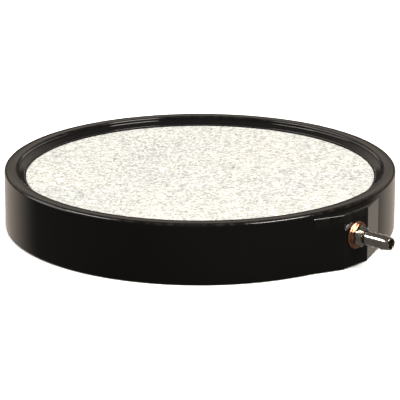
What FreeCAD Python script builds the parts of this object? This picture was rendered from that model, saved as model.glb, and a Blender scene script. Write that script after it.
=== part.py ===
"""Fine bubble disc diffuser: a porous stone disc bedded in a moulded dish, fed through a hose barb.

Sizes are millimetres. The origin is the centre of the underside, +Z is up, and the barb points along +X.
"""

import FreeCAD, Part
import math
import os

# Dish: overall size and shell
CASE_RADIUS = 101.5
CASE_HEIGHT = 31.5
WALL = 3.2
FLOOR_THICKNESS = 3.6
BASE_RECESS = 2.0
FOOT_WIDTH = 9.0

# Dish: rim, lip, sloping land and the ledge that carries the stone
RIM_WIDTH = 6.5
LIP_DEPTH = 2.2
LIP_DRAFT = 0.3
LAND_WIDTH = 3.8
LAND_DROP = 1.4
LEDGE_WIDTH = 4.7

# Dish: edges and drafts
RIM_OUTER_ROUNDING = 1.6
RIM_INNER_CHAMFER = 0.6
BASE_CHAMFER = 1.6
RECESS_DRAFT = 0.5

# Dish: stiffening ribs in the cored wall and fins under the stone
RIB_COUNT = 12
RIB_THICKNESS = 2.4
RIB_SETBACK = 1.0
FIN_RING_PITCH = 28.0
FIN_SPACING = 36.0
FIN_LENGTH = 14.0
FIN_THICKNESS = 2.4
FIN_WALL_GAP = 16.0

# Inlet boss: a flat pad with a straight ramp on each side
BOSS_PROJECTION = 3.7
BOSS_FACE_HALF_WIDTH = 9.0
BOSS_ROOT_HALF_WIDTH = 26.0
BOSS_DROP = 2.8
BOSS_ROUNDING = 0.8
PASSAGE_RADIUS = 2.0
PASSAGE_ROOF = 1.2
HOLE_RELIEF = 0.8
HOLE_COUNTERSINK = 0.5

# Stone disc and the adhesive that holds and seals it
STONE_THICKNESS = 7.6
STONE_RECESS = 4.3
GLUE_GAP = 0.8
GLUE_OUTER_DROP = 0.3
GLUE_INNER_DROP = 0.6

# Hose barb: threaded shank, hexagon, neck, barbs and nose
SHANK_DIAMETER = 8.0
SHANK_LENGTH = 9.0
THREAD_CLEARANCE = 0.05
HEX_ACROSS_FLATS = 10.0
HEX_LENGTH = 3.0
HEX_CHAMFER = 0.45
NECK_RADIUS = 3.3
NECK_LENGTH = 4.1
BARB_RADIUS = 4.0
BARB_ROOT_RADIUS = 3.35
BARB_PITCH = 3.0
BARB_COUNT = 4
NOSE_LENGTH = 4.8
TIP_RADIUS = 3.05
TIP_CHAMFER = 0.25
BORE_RADIUS = 2.4

# Sealing washer
WASHER_RADIUS = 7.0
WASHER_THICKNESS = 1.0
WASHER_CLEARANCE = 0.1

# Radii worked out from the sizes above
RIM_INNER_RADIUS = CASE_RADIUS - RIM_WIDTH
POCKET_RADIUS = RIM_INNER_RADIUS - LAND_WIDTH
CHAMBER_RADIUS = POCKET_RADIUS - LEDGE_WIDTH
STONE_RADIUS = POCKET_RADIUS - GLUE_GAP
SKIRT_INNER_RADIUS = CASE_RADIUS - WALL
HOLE_RADIUS = SHANK_DIAMETER / 2
SHANK_RADIUS = HOLE_RADIUS - THREAD_CLEARANCE

# Heights above the underside
FLOOR_TOP = BASE_RECESS + FLOOR_THICKNESS
STONE_TOP = CASE_HEIGHT - STONE_RECESS
STONE_BOTTOM = STONE_TOP - STONE_THICKNESS
LIP_FOOT = CASE_HEIGHT - LIP_DEPTH
LAND_LOW = LIP_FOOT - LAND_DROP
INLET_HEIGHT = STONE_BOTTOM - PASSAGE_ROOF - PASSAGE_RADIUS

# Stations along +X
BOSS_FACE = CASE_RADIUS + BOSS_PROJECTION
HEX_BACK = BOSS_FACE + WASHER_THICKNESS
HEX_FRONT = HEX_BACK + HEX_LENGTH
FIRST_BARB = HEX_FRONT + NECK_LENGTH
LAST_BARB = FIRST_BARB + BARB_PITCH * (BARB_COUNT - 1)
TIP = LAST_BARB + NOSE_LENGTH
SHANK_END = BOSS_FACE - SHANK_LENGTH
HOLE_END = SHANK_END - HOLE_RELIEF

ORIGIN = FreeCAD.Vector(0, 0, 0)
X_AXIS = FreeCAD.Vector(1, 0, 0)
Z_AXIS = FreeCAD.Vector(0, 0, 1)
OVERSHOOT = 1.0
FULL_TURN = 360


def corner_arc(before, corner, after, rounding):
    """The arc of radius rounding that is tangent to both sides of a corner."""
    back = (before - corner).normalize()
    ahead = (after - corner).normalize()
    half_angle = back.getAngle(ahead) / 2
    reach = rounding / math.tan(half_angle)
    bisector = (back + ahead).normalize()
    middle = corner + bisector * (rounding / math.sin(half_angle) - rounding)
    return Part.Arc(corner + back * reach, middle, corner + ahead * reach).toShape()


def rounded_wire(corners):
    """A closed wire through (point, rounding) corners; a rounding of 0 stays sharp."""
    arcs = []
    for i, (corner, rounding) in enumerate(corners):
        before = corners[i - 1][0]
        after = corners[(i + 1) % len(corners)][0]
        arcs.append(corner_arc(before, corner, after, rounding) if rounding else None)
    edges = []
    for i, (corner, _) in enumerate(corners):
        following = (i + 1) % len(corners)
        start = arcs[i].Vertexes[-1].Point if arcs[i] else corner
        end = arcs[following].Vertexes[0].Point if arcs[following] else corners[following][0]
        if arcs[i]:
            edges.append(arcs[i])
        edges.append(Part.LineSegment(start, end).toShape())
    return Part.Wire(edges)


def turned_about_z(outline):
    """A solid of revolution about Z from (radius, height, rounding) corners."""
    corners = [(FreeCAD.Vector(radius, 0, height), rounding) for radius, height, rounding in outline]
    return Part.Face(rounded_wire(corners)).revolve(ORIGIN, Z_AXIS, FULL_TURN)


def turned_about_inlet(outline):
    """A solid of revolution about the inlet's axis from (station, radius, rounding) corners."""
    corners = [(FreeCAD.Vector(station, 0, radius), rounding) for station, radius, rounding in outline]
    solid = Part.Face(rounded_wire(corners)).revolve(ORIGIN, X_AXIS, FULL_TURN)
    solid.translate(FreeCAD.Vector(0, 0, INLET_HEIGHT))
    return solid


def inlet_cylinder(radius, start, end):
    """A cylinder on the inlet's axis between two stations."""
    return Part.makeCylinder(radius, end - start, FreeCAD.Vector(start, 0, INLET_HEIGHT), X_AXIS)


def ring(inner_radius, outer_radius, low, high):
    """A plain ring about Z."""
    outline = [(inner_radius, low, 0), (outer_radius, low, 0), (outer_radius, high, 0), (inner_radius, high, 0)]
    return turned_about_z(outline)


def boss_prism(inset, low, high):
    """The boss's plan, brought in by inset on its outer sides, as an upright prism that tails into the dish."""
    ramp_run = BOSS_ROOT_HALF_WIDTH - BOSS_FACE_HALF_WIDTH
    root = math.sqrt(CASE_RADIUS**2 - BOSS_ROOT_HALF_WIDTH**2)
    ramp_rise = BOSS_FACE - root
    ramp_length = math.hypot(ramp_run, ramp_rise)
    face_half_width = BOSS_FACE_HALF_WIDTH - inset * (ramp_length - ramp_run) / ramp_rise
    face = BOSS_FACE - inset
    tail_half_width = face_half_width + 2 * ramp_run
    tail = face - 2 * ramp_rise
    plan = [(tail, -tail_half_width), (face, -face_half_width), (face, face_half_width), (tail, tail_half_width)]
    points = [FreeCAD.Vector(x, y, low) for x, y in plan + plan[:1]]
    return Part.Face(Part.makePolygon(points)).extrude(Z_AXIS * (high - low))


def edges_at(solid, test):
    """The edges of a solid whose two ends both pass a test of their points."""
    return [edge for edge in solid.Edges if all(test(vertex.Point) for vertex in edge.Vertexes)]


def outside_the_rim(solid):
    """What is left of a solid outside the rim's inner edge."""
    return solid.cut(Part.makeCylinder(RIM_INNER_RADIUS, CASE_HEIGHT + 2 * OVERSHOOT, Z_AXIS * -OVERSHOOT))


def outer_edges(solid, height):
    """The edges of a boss prism at a height, apart from the one at its tail inside the dish."""
    near = 0.001
    middle = (solid.BoundBox.XMin + solid.BoundBox.XMax) / 2
    level = edges_at(solid, lambda point: abs(point.z - height) < near)
    return [edge for edge in level if edge.BoundBox.XMax > middle]


def inlet_boss():
    """The pad and ramps, with a chamfered bottom edge and rounded corners and top edge."""
    top = CASE_HEIGHT - BOSS_DROP
    near = 0.001
    boss = boss_prism(0, 0, top)
    boss = boss.makeChamfer(BASE_CHAMFER, outer_edges(boss, 0))
    corners = [edge for edge in boss.Edges if edge.BoundBox.XMin > CASE_RADIUS and edge.BoundBox.ZLength > near]
    boss = boss.makeFillet(BOSS_ROUNDING, corners)
    boss = boss.makeFillet(BOSS_ROUNDING, outer_edges(boss, top))
    return outside_the_rim(boss)


def dish_blank():
    """The dish before it is cored: outer wall, rim, lip, land, ledge, chamber and recessed underside."""
    recess_radius = CASE_RADIUS - FOOT_WIDTH
    outline = [
        (0, BASE_RECESS, 0),
        (recess_radius - RECESS_DRAFT, BASE_RECESS, 0),
        (recess_radius, 0, 0),
        (CASE_RADIUS - BASE_CHAMFER, 0, 0),
        (CASE_RADIUS, BASE_CHAMFER, 0),
        (CASE_RADIUS, CASE_HEIGHT, RIM_OUTER_ROUNDING),
        (RIM_INNER_RADIUS + RIM_INNER_CHAMFER, CASE_HEIGHT, 0),
        (RIM_INNER_RADIUS, CASE_HEIGHT - RIM_INNER_CHAMFER, 0),
        (RIM_INNER_RADIUS - LIP_DRAFT, LIP_FOOT, 0),
        (POCKET_RADIUS, LAND_LOW, 0),
        (POCKET_RADIUS, STONE_BOTTOM, 0),
        (CHAMBER_RADIUS, STONE_BOTTOM, 0),
        (CHAMBER_RADIUS, FLOOR_TOP, 0),
        (0, FLOOR_TOP, 0),
    ]
    return turned_about_z(outline)


def radial_ribs():
    """The ribs that join the skirt to the chamber wall, spread clear of the inlet."""
    length = CASE_RADIUS - WALL / 2 - CHAMBER_RADIUS
    ribs = []
    for i in range(RIB_COUNT):
        corner = FreeCAD.Vector(CHAMBER_RADIUS, -RIB_THICKNESS / 2, RIB_SETBACK)
        rib = Part.makeBox(length, RIB_THICKNESS, CASE_HEIGHT, corner)
        rib.rotate(ORIGIN, Z_AXIS, (i + 0.5) * FULL_TURN / RIB_COUNT)
        ribs.append(rib)
    return ribs


def inlet_block():
    """The solid material left round the inlet's hole, from the chamber wall to the boss face."""
    half_width = HOLE_RADIUS + WALL
    corner = FreeCAD.Vector(CHAMBER_RADIUS, -half_width, -OVERSHOOT)
    return Part.makeBox(BOSS_FACE - CHAMBER_RADIUS, 2 * half_width, CASE_HEIGHT, corner)


def wall_core():
    """The stepped channel moulded up into the wall from below, between the ribs."""
    step = STONE_BOTTOM - WALL
    ceiling = LIP_FOOT - WALL
    core = ring(CHAMBER_RADIUS + WALL, SKIRT_INNER_RADIUS, -OVERSHOOT, step)
    core = core.fuse(ring(POCKET_RADIUS + WALL, SKIRT_INNER_RADIUS, -OVERSHOOT, ceiling))
    core = core.fuse(outside_the_rim(boss_prism(WALL, -OVERSHOOT, CASE_HEIGHT - BOSS_DROP - WALL)))
    core = core.cut(ring(CHAMBER_RADIUS, POCKET_RADIUS + WALL, step, CASE_HEIGHT))
    return core.cut(radial_ribs() + [inlet_block()])


def stone_fins():
    """Radial fins in rings on the chamber floor that hold the stone up and leave the air free to spread."""
    height = STONE_BOTTOM - FLOOR_TOP
    ring_count = int((CHAMBER_RADIUS - FIN_WALL_GAP) / FIN_RING_PITCH)
    fins = []
    for ring_index in range(1, ring_count + 1):
        ring_radius = ring_index * FIN_RING_PITCH
        corner = FreeCAD.Vector(ring_radius - FIN_LENGTH / 2, -FIN_THICKNESS / 2, FLOOR_TOP)
        count = round(2 * math.pi * ring_radius / FIN_SPACING)
        for i in range(count):
            fin = Part.makeBox(FIN_LENGTH, FIN_THICKNESS, height, corner)
            fin.rotate(ORIGIN, Z_AXIS, (i + 0.5) * FULL_TURN / count)
            fins.append(fin)
    return fins


def inlet_hole():
    """The tapped hole for the shank, its countersink, and the air passage on into the chamber."""
    hole = inlet_cylinder(HOLE_RADIUS, HOLE_END, BOSS_FACE + OVERSHOOT)
    passage = inlet_cylinder(PASSAGE_RADIUS, CHAMBER_RADIUS - WALL, HOLE_END + OVERSHOOT)
    mouth = FreeCAD.Vector(BOSS_FACE - HOLE_COUNTERSINK, 0, INLET_HEIGHT)
    countersink = Part.makeCone(HOLE_RADIUS, HOLE_RADIUS + HOLE_COUNTERSINK, HOLE_COUNTERSINK, mouth, X_AXIS)
    return [hole, passage, countersink]


def case():
    """The moulded dish in one piece."""
    body = dish_blank().fuse(inlet_boss())
    body = body.cut(wall_core())
    body = body.fuse(stone_fins())
    return body.cut(inlet_hole()).removeSplitter()


def stone_disc():
    """The porous disc, which lies on the ledge and the fins."""
    return Part.makeCylinder(STONE_RADIUS, STONE_THICKNESS, Z_AXIS * STONE_BOTTOM)


def adhesive_ring():
    """The bead that fills the gap round the stone, with a top that falls towards the stone."""
    outline = [
        (STONE_RADIUS, STONE_BOTTOM, 0),
        (POCKET_RADIUS, STONE_BOTTOM, 0),
        (POCKET_RADIUS, STONE_TOP - GLUE_OUTER_DROP, 0),
        (STONE_RADIUS, STONE_TOP - GLUE_INNER_DROP, 0),
    ]
    return turned_about_z(outline)


def sealing_washer():
    """The soft copper ring between the boss face and the hexagon."""
    inner_radius = HOLE_RADIUS + WASHER_CLEARANCE
    outline = [
        (BOSS_FACE, inner_radius, 0),
        (BOSS_FACE, WASHER_RADIUS, 0),
        (HEX_BACK, WASHER_RADIUS, 0),
        (HEX_BACK, inner_radius, 0),
    ]
    return turned_about_inlet(outline)


def barb_outline():
    """Half the turned section: shank, neck, saw-tooth barbs that grip the hose, and the nose."""
    outline = [
        (SHANK_END, BORE_RADIUS, 0),
        (SHANK_END, SHANK_RADIUS, 0),
        (HEX_BACK, SHANK_RADIUS, 0),
        (HEX_BACK, NECK_RADIUS, 0),
        (FIRST_BARB, NECK_RADIUS, 0),
    ]
    for i in range(BARB_COUNT):
        crest = FIRST_BARB + i * BARB_PITCH
        outline.append((crest, BARB_RADIUS, 0))
        if i < BARB_COUNT - 1:
            outline.append((crest + BARB_PITCH, BARB_ROOT_RADIUS, 0))
    outline.append((TIP - TIP_CHAMFER, TIP_RADIUS, 0))
    outline.append((TIP, TIP_RADIUS - TIP_CHAMFER, 0))
    outline.append((TIP, BORE_RADIUS, 0))
    return outline


def hexagon():
    """The spanner hexagon, its corners chamfered at both ends, with one pair of corners up and down."""
    corner_radius = HEX_ACROSS_FLATS / math.sqrt(3)
    points = []
    for i in range(7):
        angle = math.radians(60 * i)
        y = corner_radius * math.sin(angle)
        z = INLET_HEIGHT + corner_radius * math.cos(angle)
        points.append(FreeCAD.Vector(HEX_BACK, y, z))
    prism = Part.Face(Part.makePolygon(points)).extrude(X_AXIS * HEX_LENGTH)
    face_radius = HEX_ACROSS_FLATS / 2
    outline = [
        (HEX_BACK, 0, 0),
        (HEX_BACK, face_radius, 0),
        (HEX_BACK + HEX_CHAMFER, corner_radius, 0),
        (HEX_FRONT - HEX_CHAMFER, corner_radius, 0),
        (HEX_FRONT, face_radius, 0),
        (HEX_FRONT, 0, 0),
    ]
    return prism.common(turned_about_inlet(outline))


def hose_barb():
    """The brass fitting in one piece, bored through."""
    bore = inlet_cylinder(BORE_RADIUS, SHANK_END - OVERSHOOT, TIP + OVERSHOOT)
    return turned_about_inlet(barb_outline()).fuse(hexagon()).cut(bore).removeSplitter()


def export(name, shape):
    """Write one piece as a single STEP solid."""
    solid = shape.Solids[0]
    solid.exportStep("parts/" + name + ".step")


os.makedirs("parts", exist_ok=True)
export("case", case())
export("stone_disc", stone_disc())
export("adhesive_ring", adhesive_ring())
export("sealing_washer", sealing_washer())
export("hose_barb", hose_barb())
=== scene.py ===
"""The look of the fine bubble disc diffuser: glossy moulded dish, grained stone, resin bead, copper washer, nickel barb.

Everything is in metres in the part's own frame: +Z up from the underside, +X out along the hose barb.
"""

import math
import random

import bmesh
import bpy
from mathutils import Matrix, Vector, noise
from mathutils.geometry import delaunay_2d_cdt


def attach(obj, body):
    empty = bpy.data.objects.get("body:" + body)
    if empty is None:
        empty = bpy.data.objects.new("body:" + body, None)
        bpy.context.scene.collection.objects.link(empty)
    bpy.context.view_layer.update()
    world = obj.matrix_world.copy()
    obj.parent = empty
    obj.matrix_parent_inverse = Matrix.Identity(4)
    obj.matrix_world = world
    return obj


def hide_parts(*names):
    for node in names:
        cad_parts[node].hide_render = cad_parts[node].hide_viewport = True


MM = 0.001

# Dish, in millimetres
CASE_RADIUS = 101.5
CASE_HEIGHT = 31.5
WALL = 3.2
FLOOR_TOP = 5.6
FLOOR_BOTTOM = 2.0
RECESS_RADIUS = 92.5
RECESS_FOOT = 92.0
RIM_RADIUS = 95.0
LIP_FOOT_RADIUS = 94.7
LIP_FOOT = 29.3
LAND_LOW = 27.9
POCKET_RADIUS = 91.2
CHAMBER_RADIUS = 86.5
LEDGE = 19.6
RIM_OUTER_ROUNDING = 1.6
RIM_INNER_ROUNDING = 1.0
LIP_FOOT_ROUNDING = 1.0
LAND_EDGE_ROUNDING = 0.4
BASE_ROUNDING = 1.5
RIM_CROWN = 0.05

# Boss for the inlet, in millimetres
BOSS_FACE = 105.2
BOSS_TOP = 28.7
BOSS_FACE_HALF_WIDTH = 9.0
BOSS_ROOT_HALF_WIDTH = 26.0
BOSS_TOP_ROUNDING = 0.8
BOSS_CORNER_ROUNDING = 0.9
BOSS_FILLET = 0.5

# Channel moulded up into the wall from below, in millimetres
CHANNEL_INNER_RADIUS = 89.7
CHANNEL_STEP_RADIUS = 94.4
CHANNEL_STEP = 16.4
CHANNEL_CEILING = 26.1
CHANNEL_OUTER_RADIUS = 98.3
RIB_COUNT = 12
RIB_THICKNESS = 2.4
RIB_FOOT = 1.0
INLET_BLOCK_HALF_WIDTH = 7.2

# Stone and resin, in millimetres
STONE_RADIUS = 90.4
STONE_TOP = 27.2
GRAIN_PITCH = 0.8
GRAIN_RELIEF = 0.10
STONE_CHIP = 0.30
RESIN_OUTER = 27.05
RESIN_INNER = 26.75

# Hose barb and washer, in millimetres along and around the inlet's axis
INLET_HEIGHT = 16.4
SHANK_END = 96.2
SHANK_RADIUS = 3.95
HEX_BACK = 106.2
HEX_FRONT = 109.2
HEX_ACROSS_FLATS = 10.0
HEX_CHAMFER = 0.45
NECK_RADIUS = 3.3
FIRST_BARB = 113.3
BARB_PITCH = 3.0
BARB_COUNT = 4
BARB_RADIUS = 4.0
BARB_ROOT_RADIUS = 3.35
TIP = 127.1
TIP_RADIUS = 3.05
BORE_RADIUS = 2.4
WASHER_INNER_RADIUS = 4.1
WASHER_RADIUS = 7.0

# Mesh fineness
ARC_STEPS = 7
AZIMUTH_STEP = 1.0
BOSS_AZIMUTH_STEP = 0.12
BOSS_AZIMUTH_END = 16.0
TURNED_STEPS = 144

# Camera and studio
CAMERA_AZIMUTH = 43.0
CAMERA_ELEVATION = 17.15
CAMERA_DISTANCE = 1.218
CAMERA_AIM_HEIGHT = 0.0157
CAMERA_DIP = 0.17
CAMERA_LENS = 210.0
SWEEP_FLOOR_RADIUS = 3.4
SWEEP_RADIUS = 4.2
SWEEP_HEIGHT = 3.0
SEED = 7


# ---------------------------------------------------------------- mesh helpers


def arc_points(before, corner, after, rounding, steps):
    """Points on the arc that rounds a corner of a polyline; a rounding of 0 repeats the corner."""
    corner = Vector(corner)
    back = (Vector(before) - corner).normalized()
    ahead = (Vector(after) - corner).normalized()
    half_angle = back.angle(ahead) / 2
    if rounding <= 0:
        return [tuple(corner)]
    reach = rounding / math.tan(half_angle)
    start, end = corner + back * reach, corner + ahead * reach
    centre = corner + (back + ahead).normalized() * (rounding / math.sin(half_angle))
    first, last = start - centre, end - centre
    sweep = first.angle(last)
    points = []
    for i in range(steps + 1):
        share = i / steps
        mixed = first * math.sin((1 - share) * sweep) + last * math.sin(share * sweep)
        points.append(tuple(centre + mixed / math.sin(sweep)))
    return points


def rounded_line(corners, steps=ARC_STEPS):
    """An open polyline through (a, b, rounding) corners, with its inner corners rounded."""
    points = [tuple(corners[0][:2])]
    for i in range(1, len(corners) - 1):
        a, b, rounding = corners[i]
        points += arc_points(corners[i - 1][:2], (a, b), corners[i + 1][:2], rounding, steps)
    points.append(tuple(corners[-1][:2]))
    return points


def new_piece(name, verts, faces, material):
    """A shown piece from vertices in metres, shaded smooth up to its sharp edges."""
    mesh = bpy.data.meshes.new(name)
    mesh.from_pydata(verts, [], faces)
    piece = bpy.data.objects.new(name, mesh)
    bpy.context.scene.collection.objects.link(piece)
    tidy_mesh(mesh)
    mesh.materials.append(material)
    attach(piece, "root")
    return piece


def tidy_mesh(mesh, sharp_angle=32):
    """Merge coincident points, drop empty faces, turn normals outward and mark the sharp edges."""
    bm = bmesh.new()
    bm.from_mesh(mesh)
    bmesh.ops.remove_doubles(bm, verts=bm.verts, dist=2e-6)
    bmesh.ops.dissolve_degenerate(bm, edges=bm.edges, dist=1e-6)
    bmesh.ops.recalc_face_normals(bm, faces=bm.faces)
    bm.to_mesh(mesh)
    bm.free()
    mesh.polygons.foreach_set("use_smooth", [True] * len(mesh.polygons))
    mesh.set_sharp_from_angle(angle=math.radians(sharp_angle))
    mesh.update()


def strip_faces(rows, columns, close_rows=False, close_columns=False):
    """Quads of a grid of points stored row by row."""
    faces = []
    for i in range(rows if close_rows else rows - 1):
        for j in range(columns if close_columns else columns - 1):
            a, b = i * columns, ((i + 1) % rows) * columns
            k = (j + 1) % columns
            faces.append((a + j, a + k, b + k, b + j))
    return faces


# ---------------------------------------------------------------- dish


def boss_radius(azimuth, inset):
    """Distance from the dish's axis to the boss's plan outline, brought in by inset."""
    ramp_run = BOSS_ROOT_HALF_WIDTH - BOSS_FACE_HALF_WIDTH
    ramp_rise = BOSS_FACE - math.sqrt(CASE_RADIUS**2 - BOSS_ROOT_HALF_WIDTH**2)
    slope = math.atan2(ramp_rise, ramp_run)
    normal = slope
    distance = BOSS_FACE * math.cos(normal) + BOSS_FACE_HALF_WIDTH * math.sin(normal) - inset
    turn = abs(azimuth)
    if turn > slope:
        return 0
    face = (BOSS_FACE - inset) / math.cos(turn)
    ramp = distance / math.cos(turn - normal)
    blend = max(BOSS_CORNER_ROUNDING - inset, 0.05) * 0.12
    spread = max(blend - abs(face - ramp), 0) / blend
    return min(face, ramp) - spread * spread * blend / 4


def dish_azimuths():
    """Azimuths in degrees: fine across the boss, and a pair at each side of every rib."""
    angles = set()
    steps = int(round(2 * BOSS_AZIMUTH_END / BOSS_AZIMUTH_STEP))
    for i in range(steps + 1):
        angles.add(round(-BOSS_AZIMUTH_END + i * BOSS_AZIMUTH_STEP, 4))
    angle = BOSS_AZIMUTH_END + AZIMUTH_STEP
    while angle < 360 - BOSS_AZIMUTH_END:
        angles.add(round(angle, 4))
        angle += AZIMUTH_STEP
    for centre, half_width in rib_azimuths():
        for edge in (centre - half_width, centre + half_width):
            angles.add(round(edge - 0.01, 4))
            angles.add(round(edge + 0.01, 4))
    return sorted(angles)


def rib_azimuths():
    """Centre and half width in degrees of each rib in the channel."""
    middle = (CHANNEL_INNER_RADIUS + CHANNEL_OUTER_RADIUS) / 2
    half_width = math.degrees(RIB_THICKNESS / 2 / middle)
    return [((i + 0.5) * 360 / RIB_COUNT, half_width) for i in range(RIB_COUNT)]


def underside_kind(angle):
    """What closes the channel at an azimuth in degrees: nothing, a rib or the inlet's block."""
    around = (angle + 180) % 360 - 180
    if abs(around) < math.degrees(math.atan2(INLET_BLOCK_HALF_WIDTH, CHANNEL_STEP_RADIUS)):
        return "block"
    for centre, half_width in rib_azimuths():
        if abs((angle - centre + 180) % 360 - 180) < half_width:
            return "rib"
    return "open"


def underside_section(angle):
    """Radius and height pairs from the middle of the underside out to the skirt's foot."""
    kind = underside_kind(angle)
    azimuth = math.radians(angle)
    outer = max(CHANNEL_OUTER_RADIUS, boss_radius(azimuth, WALL))
    low_ceiling = min(CHANNEL_CEILING, BOSS_TOP - WALL)
    line = [(0, FLOOR_BOTTOM), (30, FLOOR_BOTTOM), (60, FLOOR_BOTTOM), (CHANNEL_INNER_RADIUS - 0.4, FLOOR_BOTTOM)]
    channel = [
        (CHANNEL_INNER_RADIUS, FLOOR_BOTTOM + 0.4),
        (CHANNEL_INNER_RADIUS, CHANNEL_STEP),
        (CHANNEL_STEP_RADIUS, CHANNEL_STEP),
        (CHANNEL_STEP_RADIUS, CHANNEL_CEILING),
        (CHANNEL_OUTER_RADIUS, CHANNEL_CEILING),
        (CHANNEL_OUTER_RADIUS, low_ceiling),
        (outer, low_ceiling),
        (outer, 0.6),
        (outer + 0.3, 0),
    ]
    if kind == "open":
        return line + channel
    foot = RIB_FOOT if kind == "rib" else 0
    closed = []
    for radius, _ in channel:
        height = FLOOR_BOTTOM if radius < RECESS_FOOT else foot
        closed.append((radius, height))
    closed[-1] = channel[-1]
    return line + closed


def outside_section(angle):
    """Radius and height pairs up the outside: base rounding, wall, boss top and wall above it."""
    azimuth = math.radians(angle)
    points = []
    for i in range(ARC_STEPS + 1):
        turn = math.radians(90) * i / ARC_STEPS
        inset = BASE_ROUNDING * (1 - math.sin(turn))
        height = BASE_ROUNDING * (1 - math.cos(turn))
        points.append((max(CASE_RADIUS - inset, boss_radius(azimuth, inset)), height))
    full = max(CASE_RADIUS, boss_radius(azimuth, 0))
    shoulder = BOSS_TOP - BOSS_TOP_ROUNDING
    for height in (8.0, 15.0, 22.0):
        points.append((full, height))
    for i in range(ARC_STEPS + 1):
        turn = math.radians(90) * i / ARC_STEPS
        inset = BOSS_TOP_ROUNDING * (1 - math.cos(turn))
        height = shoulder + BOSS_TOP_ROUNDING * math.sin(turn)
        points.append((max(CASE_RADIUS, boss_radius(azimuth, inset)), height))
    ledge = points[-1][0]
    fillet = min(BOSS_FILLET, ledge - CASE_RADIUS)
    for i in range(ARC_STEPS + 1):
        turn = math.radians(90) * i / ARC_STEPS
        rise = fillet * (1 - math.cos(turn))
        points.append((CASE_RADIUS + fillet * (1 - math.sin(turn)), BOSS_TOP + rise))
    return points


def rim_section():
    """Radius and height pairs over the rim, down the lip and land, and on to the chamber's middle."""
    crown_edge = CASE_HEIGHT - RIM_CROWN
    corners = [
        (CASE_RADIUS, BOSS_TOP + BOSS_FILLET, 0),
        (CASE_RADIUS, crown_edge, RIM_OUTER_ROUNDING),
        ((CASE_RADIUS + RIM_RADIUS) / 2 - 0.2, CASE_HEIGHT, 9.0),
        (RIM_RADIUS, crown_edge, RIM_INNER_ROUNDING),
        (LIP_FOOT_RADIUS, LIP_FOOT, LIP_FOOT_ROUNDING),
        (POCKET_RADIUS, LAND_LOW, LAND_EDGE_ROUNDING),
        (POCKET_RADIUS, LEDGE, 0),
        (CHAMBER_RADIUS, LEDGE, 0),
        (CHAMBER_RADIUS, FLOOR_TOP, 0),
        (0, FLOOR_TOP, 0),
    ]
    return rounded_line(corners)


def moulded_dish(material):
    """The dish as one closed skin, section by section round its axis."""
    angles = dish_azimuths()
    rim = rim_section()
    verts = []
    for angle in angles:
        azimuth = math.radians(angle)
        section = underside_section(angle) + outside_section(angle) + rim
        for radius, height in section:
            verts.append((radius * math.cos(azimuth) * MM, radius * math.sin(azimuth) * MM, height * MM))
    columns = len(verts) // len(angles)
    faces = strip_faces(len(angles), columns, close_rows=True)
    piece = new_piece("moulded_dish", verts, faces, material)
    mark_edges(piece)
    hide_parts("case")
    return piece


def mark_edges(piece, reach=1.1):
    """Store how near each point is to a worn outer edge, as a point attribute from 0 to 1."""
    attribute = piece.data.attributes.new("edge_wear", "FLOAT", "POINT")
    values = []
    for vertex in piece.data.vertices:
        x, y, z = (c / MM for c in vertex.co)
        radius = math.hypot(x, y)
        around = math.atan2(y, x)
        outer = max(CASE_RADIUS, boss_radius(around, 0))
        top = math.hypot(max(CASE_RADIUS - 0.5 - radius, 0), CASE_HEIGHT - 0.5 - z)
        inner = math.hypot(radius - RIM_RADIUS - 0.3, CASE_HEIGHT - 0.3 - z)
        foot = math.hypot(outer - 0.5 - radius, z - 0.5)
        shelf = math.hypot(outer - 0.3 - radius, BOSS_TOP - 0.3 - z) if outer > CASE_RADIUS + 0.4 else reach
        nearest = min(top, inner, foot, shelf)
        values.append(max(0.0, 1 - nearest / reach))
    attribute.data.foreach_set("value", values)


# ---------------------------------------------------------------- stone and resin


def grain_noise(x, y, size, seed):
    """Smooth noise from -1 to 1 with features of a size in millimetres."""
    return noise.noise(Vector((x / size, y / size, seed)))


def stone_edge_radius(azimuth):
    """Radius of the stone's broken top edge at an azimuth."""
    x, y = STONE_RADIUS * math.cos(azimuth), STONE_RADIUS * math.sin(azimuth)
    fine = grain_noise(x, y, 0.7, 3.1)
    coarse = grain_noise(x, y, 3.0, 8.7)
    bite = max(0.0, fine * 0.8 + coarse * 0.5)
    return STONE_RADIUS - STONE_CHIP * bite - 0.05


def stone_points(rng):
    """Jittered grain centres over the stone's top face, stopping short of a margin at its edge."""
    points = []
    inner = STONE_RADIUS - 1.3
    row_pitch = GRAIN_PITCH * math.sqrt(3) / 2
    rows = int(STONE_RADIUS / row_pitch) + 1
    for j in range(-rows, rows + 1):
        shift = GRAIN_PITCH / 2 if j % 2 else 0
        for i in range(-rows, rows + 1):
            x = i * GRAIN_PITCH + shift + rng.uniform(-0.3, 0.3) * GRAIN_PITCH
            y = j * row_pitch + rng.uniform(-0.3, 0.3) * GRAIN_PITCH
            if math.hypot(x, y) < inner:
                points.append((x, y))
    return points


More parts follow.
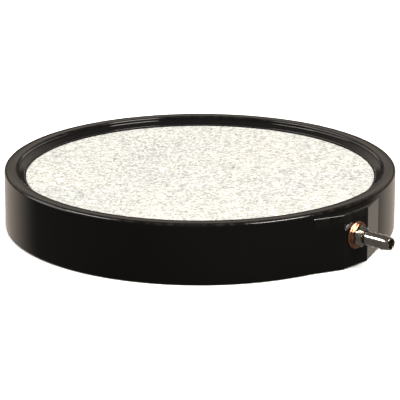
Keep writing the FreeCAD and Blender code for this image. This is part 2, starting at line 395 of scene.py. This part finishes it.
def moulded_stone(material):
    """The porous disc: a field of grains on top, a broken edge, and plain sides hidden in the pocket."""
    rng = random.Random(SEED)
    points = stone_points(rng)
    ring_steps = 1000
    rings = [(0.9, 0.02), (0.45, 0.03), (0.0, 0.16)]
    flat = [Vector(p) for p in points]
    first_ring = len(flat)
    heights = [stone_height(p[0], p[1], rng) for p in points]
    for inset, fall in rings:
        for i in range(ring_steps):
            azimuth = 2 * math.pi * i / ring_steps
            radius = stone_edge_radius(azimuth) - inset
            x, y = radius * math.cos(azimuth), radius * math.sin(azimuth)
            flat.append(Vector((x, y)))
            heights.append(stone_height(x, y, rng) - fall)
    border = list(range(first_ring + (len(rings) - 1) * ring_steps, len(flat)))
    made = delaunay_2d_cdt(flat, [], [border], 1, 1e-7)
    co, _, tris, sources = made[0], made[1], made[2], made[3]
    verts = [(p.x * MM, p.y * MM, (STONE_TOP + heights[sources[k][0]]) * MM) for k, p in enumerate(co)]
    faces = [tuple(t) for t in tris]
    place = {sources[k][0]: k for k in range(len(co))}
    upper = [place[b] for b in border]
    for depth, out in ((0.9, 0.0), (7.6, 0.0)):
        lower = []
        for i in range(ring_steps):
            azimuth = 2 * math.pi * i / ring_steps
            radius = STONE_RADIUS - out
            lower.append(len(verts))
            verts.append((radius * math.cos(azimuth) * MM, radius * math.sin(azimuth) * MM, (STONE_TOP - depth) * MM))
        for i in range(ring_steps):
            k = (i + 1) % ring_steps
            faces.append((upper[i], lower[i], lower[k], upper[k]))
        upper = lower
    faces.append(tuple(reversed(upper)))
    piece = new_piece("porous_stone", verts, faces, material)
    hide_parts("stone_disc")
    return piece


def stone_height(x, y, rng):
    """Relief of one grain in millimetres, never above the nominal face."""
    rough = rng.uniform(-1, 0) * GRAIN_RELIEF
    wave = (grain_noise(x, y, 14.0, 5.5) - 1) * 0.03
    return rough + wave


def resin_bead(material):
    """The glossy bead between the dish and the stone, uneven where it has crept up the grains."""
    verts = []
    steps = 720
    for i in range(steps):
        azimuth = 2 * math.pi * i / steps
        x, y = 91 * math.cos(azimuth), 91 * math.sin(azimuth)
        creep = 0.05 * grain_noise(x, y, 2.5, 1.7) + 0.04 * grain_noise(x, y, 11.0, 4.2)
        reach = 0.18 + 0.12 * grain_noise(x, y, 1.6, 9.4)
        section = [
            (POCKET_RADIUS, LEDGE),
            (POCKET_RADIUS, RESIN_OUTER + creep),
            (POCKET_RADIUS - 0.15, RESIN_OUTER - 0.12 + creep),
            (STONE_RADIUS + 0.25, RESIN_INNER + creep),
            (STONE_RADIUS + 0.02, RESIN_INNER + 0.05 + creep),
            (STONE_RADIUS - reach, RESIN_INNER + 0.12 + creep),
            (STONE_RADIUS - reach - 0.1, RESIN_INNER - 0.3),
            (STONE_RADIUS - reach - 0.1, LEDGE),
        ]
        for radius, height in section:
            verts.append((radius * math.cos(azimuth) * MM, radius * math.sin(azimuth) * MM, height * MM))
    faces = strip_faces(steps, 8, close_rows=True, close_columns=True)
    piece = new_piece("resin_bead", verts, faces, material)
    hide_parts("adhesive_ring")
    return piece


# ---------------------------------------------------------------- inlet fittings


def turned_about_inlet(section, radius_at=None, steps=TURNED_STEPS):
    """Vertices and faces of a closed (station, radius) section turned about the inlet's axis."""
    verts = []
    for i in range(steps):
        angle = 2 * math.pi * i / steps
        for station, radius in section:
            r = radius_at(angle, station, radius) if radius_at else radius
            verts.append((station * MM, r * math.sin(angle) * MM, (INLET_HEIGHT + r * math.cos(angle)) * MM))
    return verts, strip_faces(steps, len(section), close_rows=True, close_columns=True)


def closed_section(corners, steps=4):
    """A closed (station, radius) polyline with rounded corners."""
    points = []
    count = len(corners)
    for i, (a, b, rounding) in enumerate(corners):
        before, after = corners[i - 1][:2], corners[(i + 1) % count][:2]
        points += arc_points(before, (a, b), after, rounding, steps)
    return points


def sealing_washer(material):
    """The copper ring, with the rolled edges of a stamped washer and a faint dish from tightening."""
    corners = [
        (BOSS_FACE, WASHER_INNER_RADIUS, 0),
        (BOSS_FACE, WASHER_RADIUS, 0.28),
        (HEX_BACK, WASHER_RADIUS, 0.34),
        (HEX_BACK - 0.01, WASHER_RADIUS - 0.9, 0.6),
        (HEX_BACK - 0.12, WASHER_RADIUS - 1.3, 0.6),
        (HEX_BACK, 5.0, 0.3),
        (HEX_BACK, WASHER_INNER_RADIUS, 0),
    ]
    verts, faces = turned_about_inlet(closed_section(corners))
    piece = new_piece("copper_washer", verts, faces, material)
    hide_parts("sealing_washer")
    return piece


def hexagon_radius(angle, station, radius):
    """Radius of the chamfered hexagon, with one pair of corners up and down."""
    sixth = math.radians(60)
    off_flat = abs((angle % sixth) - sixth / 2)
    flat = HEX_ACROSS_FLATS / 2 / math.cos(off_flat)
    soft = 0.12
    spread = max(soft - abs(flat - radius), 0) / soft
    return min(flat, radius) - spread * spread * soft / 4


def hexagon(material):
    """The spanner hexagon: flats cut across a turned, chamfered collar."""
    corner_radius = HEX_ACROSS_FLATS / math.sqrt(3)
    face_radius = HEX_ACROSS_FLATS / 2
    corners = [
        (HEX_BACK, NECK_RADIUS, 0),
        (HEX_BACK, face_radius, 0.08),
        (HEX_BACK + HEX_CHAMFER, corner_radius, 0.1),
        (HEX_FRONT - HEX_CHAMFER, corner_radius, 0.1),
        (HEX_FRONT, face_radius, 0.08),
        (HEX_FRONT, NECK_RADIUS, 0),
    ]
    section = closed_section(corners, 3)
    verts, faces = turned_about_inlet(section, hexagon_radius, 360)
    return new_piece("barb_hexagon", verts, faces, material)


def barb_section():
    """Closed section of the turned fitting: shank, neck, saw-tooth rings, nose and bore."""
    corners = [
        (SHANK_END, BORE_RADIUS, 0),
        (SHANK_END, SHANK_RADIUS, 0.3),
        (HEX_BACK, SHANK_RADIUS, 0),
        (HEX_BACK, NECK_RADIUS, 0),
        (HEX_FRONT, NECK_RADIUS, 0),
        (FIRST_BARB - 0.02, NECK_RADIUS, 0.12),
    ]
    for i in range(BARB_COUNT):
        crest = FIRST_BARB + i * BARB_PITCH
        corners.append((crest, BARB_RADIUS, 0.1))
        if i < BARB_COUNT - 1:
            corners.append((crest + BARB_PITCH - 0.02, BARB_ROOT_RADIUS, 0.12))
    corners += [
        (TIP, TIP_RADIUS, 0.25),
        (TIP, BORE_RADIUS, 0.25),
    ]
    return closed_section(corners)


def hose_barb(material):
    """The turned part of the fitting in one skin, bored through; the hexagon is built as a separate piece."""
    verts, faces = turned_about_inlet(barb_section())
    piece = new_piece("barb_stem", verts, faces, material)
    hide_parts("hose_barb")
    return piece


# ---------------------------------------------------------------- materials


class Nodes:
    """Short calls for building one material's node tree."""

    def __init__(self, name):
        self.material = bpy.data.materials.new(name)
        self.material.use_nodes = True
        self.tree = self.material.node_tree
        self.shader = self.tree.nodes["Principled BSDF"]
        coordinates = self.tree.nodes.new("ShaderNodeTexCoord")
        self.object_place = coordinates.outputs["Object"]

    def link(self, output, socket):
        self.tree.links.new(output, socket)

    def set(self, **values):
        """Constant values on the shader's own sockets, with _ for spaces."""
        for name, value in values.items():
            self.shader.inputs[name.replace("_", " ")].default_value = value

    def scaled(self, scale):
        mapping = self.tree.nodes.new("ShaderNodeMapping")
        mapping.inputs["Scale"].default_value = scale
        self.link(self.object_place, mapping.inputs["Vector"])
        return mapping.outputs["Vector"]

    def noise(self, scale, detail=3.0, roughness=0.5, place=None):
        node = self.tree.nodes.new("ShaderNodeTexNoise")
        node.inputs["Scale"].default_value = scale
        node.inputs["Detail"].default_value = detail
        node.inputs["Roughness"].default_value = roughness
        self.link(place or self.object_place, node.inputs["Vector"])
        return node.outputs["Fac"]

    def cells(self, scale, output="Distance", feature="F1"):
        node = self.tree.nodes.new("ShaderNodeTexVoronoi")
        node.feature = feature
        node.inputs["Scale"].default_value = scale
        self.link(self.object_place, node.inputs["Vector"])
        return node.outputs[output]

    def ramp(self, value, stops):
        node = self.tree.nodes.new("ShaderNodeValToRGB")
        elements = node.color_ramp.elements
        while len(elements) < len(stops):
            elements.new(0.5)
        for element, (place, colour) in zip(elements, stops):
            element.position = place
            element.color = (*colour, 1)
        self.link(value, node.inputs["Fac"])
        return node.outputs["Color"]

    def remap(self, value, low, high, out_low, out_high):
        node = self.tree.nodes.new("ShaderNodeMapRange")
        for name, number in zip(("From Min", "From Max", "To Min", "To Max"), (low, high, out_low, out_high)):
            node.inputs[name].default_value = number
        self.link(value, node.inputs["Value"])
        return node.outputs["Result"]

    def mix(self, factor, first, second, blend="MIX"):
        node = self.tree.nodes.new("ShaderNodeMix")
        node.data_type = "RGBA"
        node.blend_type = blend
        for name, value in (("Factor_Float", factor), ("A_Color", first), ("B_Color", second)):
            socket = next(s for s in node.inputs if s.identifier == name)
            if hasattr(value, "is_linked") or isinstance(value, bpy.types.NodeSocket):
                self.link(value, socket)
            elif isinstance(value, (int, float)):
                socket.default_value = value
            else:
                socket.default_value = (*value, 1)
        return next(s for s in node.outputs if s.identifier == "Result_Color")

    def maths(self, operation, first, second=0.0):
        node = self.tree.nodes.new("ShaderNodeMath")
        node.operation = operation
        for socket, value in zip(node.inputs, (first, second)):
            if isinstance(value, (int, float)):
                socket.default_value = value
            else:
                self.link(value, socket)
        return node.outputs["Value"]

    def attribute(self, name):
        node = self.tree.nodes.new("ShaderNodeAttribute")
        node.attribute_name = name
        return node.outputs["Fac"]

    def bump(self, height, strength, distance, below=None):
        node = self.tree.nodes.new("ShaderNodeBump")
        node.inputs["Strength"].default_value = strength
        node.inputs["Distance"].default_value = distance
        self.link(height, node.inputs["Height"])
        if below is not None:
            self.link(below, node.inputs["Normal"])
        return node.outputs["Normal"]

    def finish(self, **sockets):
        for name, output in sockets.items():
            self.link(output, self.shader.inputs[name.replace("_", " ")])
        return self.material


def black_plastic():
    """Glossy moulded black: a faint orange peel, dust-fine scuffs, and edges rubbed paler."""
    n = Nodes("black_plastic")
    n.set(IOR=1.5, Metallic=0.0)
    cloud = n.noise(18.0, 4.0)
    speck = n.noise(900.0, 2.0)
    wear = n.maths("MULTIPLY", n.attribute("edge_wear"), n.remap(n.noise(260.0, 4.0), 0.42, 0.7, 0.0, 1.0))
    base = n.ramp(cloud, [(0.3, (0.0026, 0.0023, 0.0022)), (0.7, (0.0046, 0.0040, 0.0036))])
    colour = n.mix(wear, base, (0.018, 0.016, 0.014))
    smear = n.remap(n.noise(45.0, 5.0), 0.35, 0.75, 0.07, 0.13)
    grit = n.remap(speck, 0.6, 0.8, 0.0, 0.08)
    rough = n.maths("ADD", n.maths("ADD", smear, grit), n.maths("MULTIPLY", wear, 0.18))
    scuffs = n.noise(1.0, 2.0, place=n.scaled((1500.0, 1500.0, 60.0)))
    peel = n.bump(n.noise(520.0, 1.0), 0.25, 0.00002)
    normal = n.bump(scuffs, 0.06, 0.00001, peel)
    return n.finish(Base_Color=colour, Roughness=rough, Normal=normal)


def black_resin():
    """Potting resin: glossier than the dish, with soft waves."""
    n = Nodes("black_resin")
    n.set(IOR=1.52, Metallic=0.0)
    colour = n.ramp(n.noise(60.0, 3.0), [(0.3, (0.003, 0.0028, 0.0028)), (0.8, (0.008, 0.0072, 0.0068))])
    rough = n.remap(n.noise(300.0, 3.0), 0.3, 0.7, 0.05, 0.22)
    normal = n.bump(n.noise(700.0, 2.0), 0.35, 0.00005)
    return n.finish(Base_Color=colour, Roughness=rough, Normal=normal)


def sintered_stone():
    """Light grey mineral grains of several tints with dark pores between them."""
    n = Nodes("sintered_stone")
    n.set(Metallic=0.0)
    n.shader.inputs["Specular IOR Level"].default_value = 0.25
    grain = n.cells(1100.0, "Color")
    tone = n.ramp(
        n.maths("MULTIPLY", grain, 1.0),
        [(0.0, (0.17, 0.165, 0.155)), (0.35, (0.33, 0.33, 0.315)), (0.7, (0.42, 0.42, 0.40)), (1.0, (0.62, 0.61, 0.58))],
    )
    coarse = n.ramp(
        n.noise(420.0, 3.0, 0.7),
        [(0.25, (0.55, 0.55, 0.54)), (0.5, (1.0, 1.0, 1.0)), (0.75, (1.25, 1.24, 1.2))],
    )
    cloud = n.ramp(n.noise(24.0, 4.0), [(0.3, (0.93, 0.94, 0.95)), (0.7, (1.05, 1.03, 1.0))])
    colour = n.mix(1.0, n.mix(1.0, tone, coarse, "MULTIPLY"), cloud, "MULTIPLY")
    pores = n.remap(n.cells(1500.0, "Distance"), 0.0, 0.75, 1.0, 0.0)
    rough = n.remap(n.noise(500.0, 2.0), 0.3, 0.7, 0.82, 0.98)
    normal = n.bump(pores, 0.5, 0.00025)
    return n.finish(Base_Color=colour, Roughness=rough, Normal=normal)


def bright_nickel():
    """Nickel plate over brass: turning marks round the axis and light stains, some of them brassy."""
    n = Nodes("bright_nickel")
    n.set(Metallic=1.0)
    stain = n.noise(420.0, 4.0)
    colour = n.ramp(stain, [(0.25, (0.70, 0.64, 0.55)), (0.5, (0.86, 0.82, 0.75)), (0.8, (0.90, 0.87, 0.81))])
    rough = n.remap(n.noise(900.0, 3.0), 0.3, 0.75, 0.08, 0.24)
    marks = n.noise(1.0, 2.0, place=n.scaled((9000.0, 300.0, 300.0)))
    normal = n.bump(marks, 0.25, 0.00001)
    return n.finish(Base_Color=colour, Roughness=rough, Normal=normal)


def soft_copper():
    """Annealed copper, pinkish orange, dulled in patches and scored by the hexagon."""
    n = Nodes("soft_copper")
    n.set(Metallic=1.0)
    patch = n.noise(500.0, 5.0)
    colour = n.ramp(patch, [(0.3, (0.62, 0.26, 0.15)), (0.55, (0.86, 0.44, 0.28)), (0.8, (0.93, 0.58, 0.42))])
    rough = n.remap(n.noise(700.0, 3.0), 0.3, 0.7, 0.22, 0.42)
    marks = n.noise(1.0, 2.0, place=n.scaled((600.0, 2200.0, 2200.0)))
    normal = n.bump(marks, 0.3, 0.00003)
    return n.finish(Base_Color=colour, Roughness=rough, Normal=normal)


def studio_paper():
    """The pale matt sweep under and behind the object."""
    n = Nodes("studio_paper")
    n.set(Metallic=0.0, Roughness=0.9)
    n.shader.inputs["Specular IOR Level"].default_value = 0.0
    colour = n.ramp(n.noise(3.0, 3.0), [(0.3, (0.90, 0.90, 0.90)), (0.7, (0.93, 0.93, 0.93))])
    return n.finish(Base_Color=colour)


# ---------------------------------------------------------------- studio


def toward(azimuth, elevation):
    """Unit vector at an azimuth to the camera's right and an elevation, in degrees."""
    a, e = math.radians(CAMERA_AZIMUTH + azimuth), math.radians(elevation)
    return Vector((math.sin(a) * math.cos(e), -math.cos(a) * math.cos(e), math.sin(e)))


def add_camera():
    """The camera at the photograph's angle, on a long lens."""
    data = bpy.data.cameras.new("camera")
    data.lens = CAMERA_LENS
    data.sensor_width = 36.0
    camera = bpy.data.objects.new("camera", data)
    camera.location = Vector((0, 0, CAMERA_AIM_HEIGHT)) + toward(0, CAMERA_ELEVATION) * CAMERA_DISTANCE
    camera.rotation_euler = (math.radians(90 - CAMERA_ELEVATION - CAMERA_DIP), 0, math.radians(CAMERA_AZIMUTH))
    data.clip_start, data.clip_end = 0.05, 30.0
    bpy.context.scene.collection.objects.link(camera)
    bpy.context.scene.camera = camera


def add_sweep(material):
    """A pale floor that curves up into a wall all round."""
    profile = rounded_line([(0, 0, 0), (SWEEP_RADIUS, 0, 1.6), (SWEEP_RADIUS, SWEEP_HEIGHT, 0)], 16)
    steps = 96
    verts = []
    for i in range(steps):
        angle = 2 * math.pi * i / steps
        for radius, height in profile:
            verts.append((radius * math.cos(angle), radius * math.sin(angle), height))
    mesh = bpy.data.meshes.new("studio_sweep")
    mesh.from_pydata(verts, [], strip_faces(steps, len(profile), close_rows=True))
    sweep = bpy.data.objects.new("studio_sweep", mesh)
    bpy.context.scene.collection.objects.link(sweep)
    tidy_mesh(mesh)
    mesh.flip_normals()
    mesh.materials.append(material)
    sweep.visible_glossy = False
    sweep.visible_diffuse = False
    sweep.visible_shadow = False


def add_softbox(name, azimuth, elevation, distance, width, height, power, colour, glossy, diffuse):
    """A rectangular light that faces the object; it can be left out of reflections or of matt light."""
    data = bpy.data.lights.new(name, "AREA")
    data.shape = "RECTANGLE"
    data.size, data.size_y = width, height
    data.energy = power
    data.color = colour
    light = bpy.data.objects.new(name, data)
    place = toward(azimuth, elevation) * distance
    light.location = place
    light.rotation_mode = "QUATERNION"
    light.rotation_quaternion = (-place).to_track_quat("-Z", "Y")
    light.visible_camera = False
    light.visible_glossy = glossy
    light.visible_diffuse = diffuse
    bpy.context.scene.collection.objects.link(light)


def add_lights():
    """A broad overhead light for the matt surfaces, and softboxes whose reflections draw the edges."""
    warm = (1.0, 0.965, 0.90)
    add_softbox("overhead", 20, 72, 1.6, 1.8, 1.8, 62, (1.0, 0.99, 0.97), False, True)
    add_softbox("key", 51, 40, 1.5, 0.75, 0.30, 18, warm, True, True)
    add_softbox("fill", -74, 40, 1.5, 0.70, 0.30, 8, warm, True, True)
    add_softbox("side", -96, 24, 1.2, 0.8, 0.75, 5, warm, True, True)


def add_world():
    """A dark studio with a bright backdrop behind the object, told apart by direction."""
    world = bpy.data.worlds.new("studio")
    bpy.context.scene.world = world
    world.use_nodes = True
    tree = world.node_tree
    tree.nodes.clear()
    place = tree.nodes.new("ShaderNodeTexCoord")
    behind = tree.nodes.new("ShaderNodeVectorMath")
    behind.operation = "DOT_PRODUCT"
    behind.inputs[1].default_value = -toward(0, 0)
    tree.links.new(place.outputs["Generated"], behind.inputs[0])
    spread = tree.nodes.new("ShaderNodeMapRange")
    spread.interpolation_type = "SMOOTHSTEP"
    spread.inputs["From Min"].default_value = 0.30
    spread.inputs["From Max"].default_value = 0.80
    tree.links.new(behind.outputs["Value"], spread.inputs["Value"])
    split = tree.nodes.new("ShaderNodeSeparateXYZ")
    tree.links.new(place.outputs["Generated"], split.inputs["Vector"])
    level = tree.nodes.new("ShaderNodeMapRange")
    level.inputs["From Min"].default_value = -1.0
    level.inputs["From Max"].default_value = 1.0
    tree.links.new(split.outputs["Z"], level.inputs["Value"])
    ramp = tree.nodes.new("ShaderNodeValToRGB")
    stops = [
        (0.00, (0.30, 0.27, 0.24)),
        (0.30, (0.55, 0.48, 0.41)),
        (0.42, (0.90, 0.78, 0.66)),
        (0.49, (0.60, 0.52, 0.45)),
        (0.53, (0.05, 0.05, 0.05)),
        (0.61, (0.06, 0.055, 0.05)),
        (0.65, (0.50, 0.43, 0.37)),
        (0.72, (0.45, 0.40, 0.35)),
        (0.85, (0.10, 0.09, 0.085)),
        (1.00, (0.06, 0.06, 0.06)),
    ]
    elements = ramp.color_ramp.elements
    while len(elements) < len(stops):
        elements.new(0.5)
    for element, (position, colour) in zip(elements, stops):
        element.position = position
        element.color = (*colour, 1)
    tree.links.new(level.outputs["Result"], ramp.inputs["Fac"])
    mix = tree.nodes.new("ShaderNodeMix")
    mix.data_type = "RGBA"
    first = next(s for s in mix.inputs if s.identifier == "A_Color")
    second = next(s for s in mix.inputs if s.identifier == "B_Color")
    factor = next(s for s in mix.inputs if s.identifier == "Factor_Float")
    first.default_value = (0.085, 0.08, 0.075, 1)
    tree.links.new(ramp.outputs["Color"], second)
    tree.links.new(spread.outputs["Result"], factor)
    background = tree.nodes.new("ShaderNodeBackground")
    tree.links.new(next(s for s in mix.outputs if s.identifier == "Result_Color"), background.inputs["Color"])
    output = tree.nodes.new("ShaderNodeOutputWorld")
    tree.links.new(background.outputs["Background"], output.inputs["Surface"])


def corners(box):
    """A box's two corners as plain lists."""
    return [list(box[0]), list(box[1])]


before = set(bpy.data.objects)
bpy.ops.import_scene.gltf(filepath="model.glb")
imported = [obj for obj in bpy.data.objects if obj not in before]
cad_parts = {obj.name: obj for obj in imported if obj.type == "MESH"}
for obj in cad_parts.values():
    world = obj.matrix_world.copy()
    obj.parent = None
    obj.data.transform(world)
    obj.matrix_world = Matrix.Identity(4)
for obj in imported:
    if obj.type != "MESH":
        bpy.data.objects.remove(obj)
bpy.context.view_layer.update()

bpy.context.scene.view_settings.view_transform = "Standard"
bpy.context.scene.view_settings.look = "None"
add_camera()
add_world()
add_lights()
add_sweep(studio_paper())

nickel = bright_nickel()
moulded_dish(black_plastic())
moulded_stone(sintered_stone())
resin_bead(black_resin())
sealing_washer(soft_copper())
hose_barb(nickel)
hexagon(nickel)
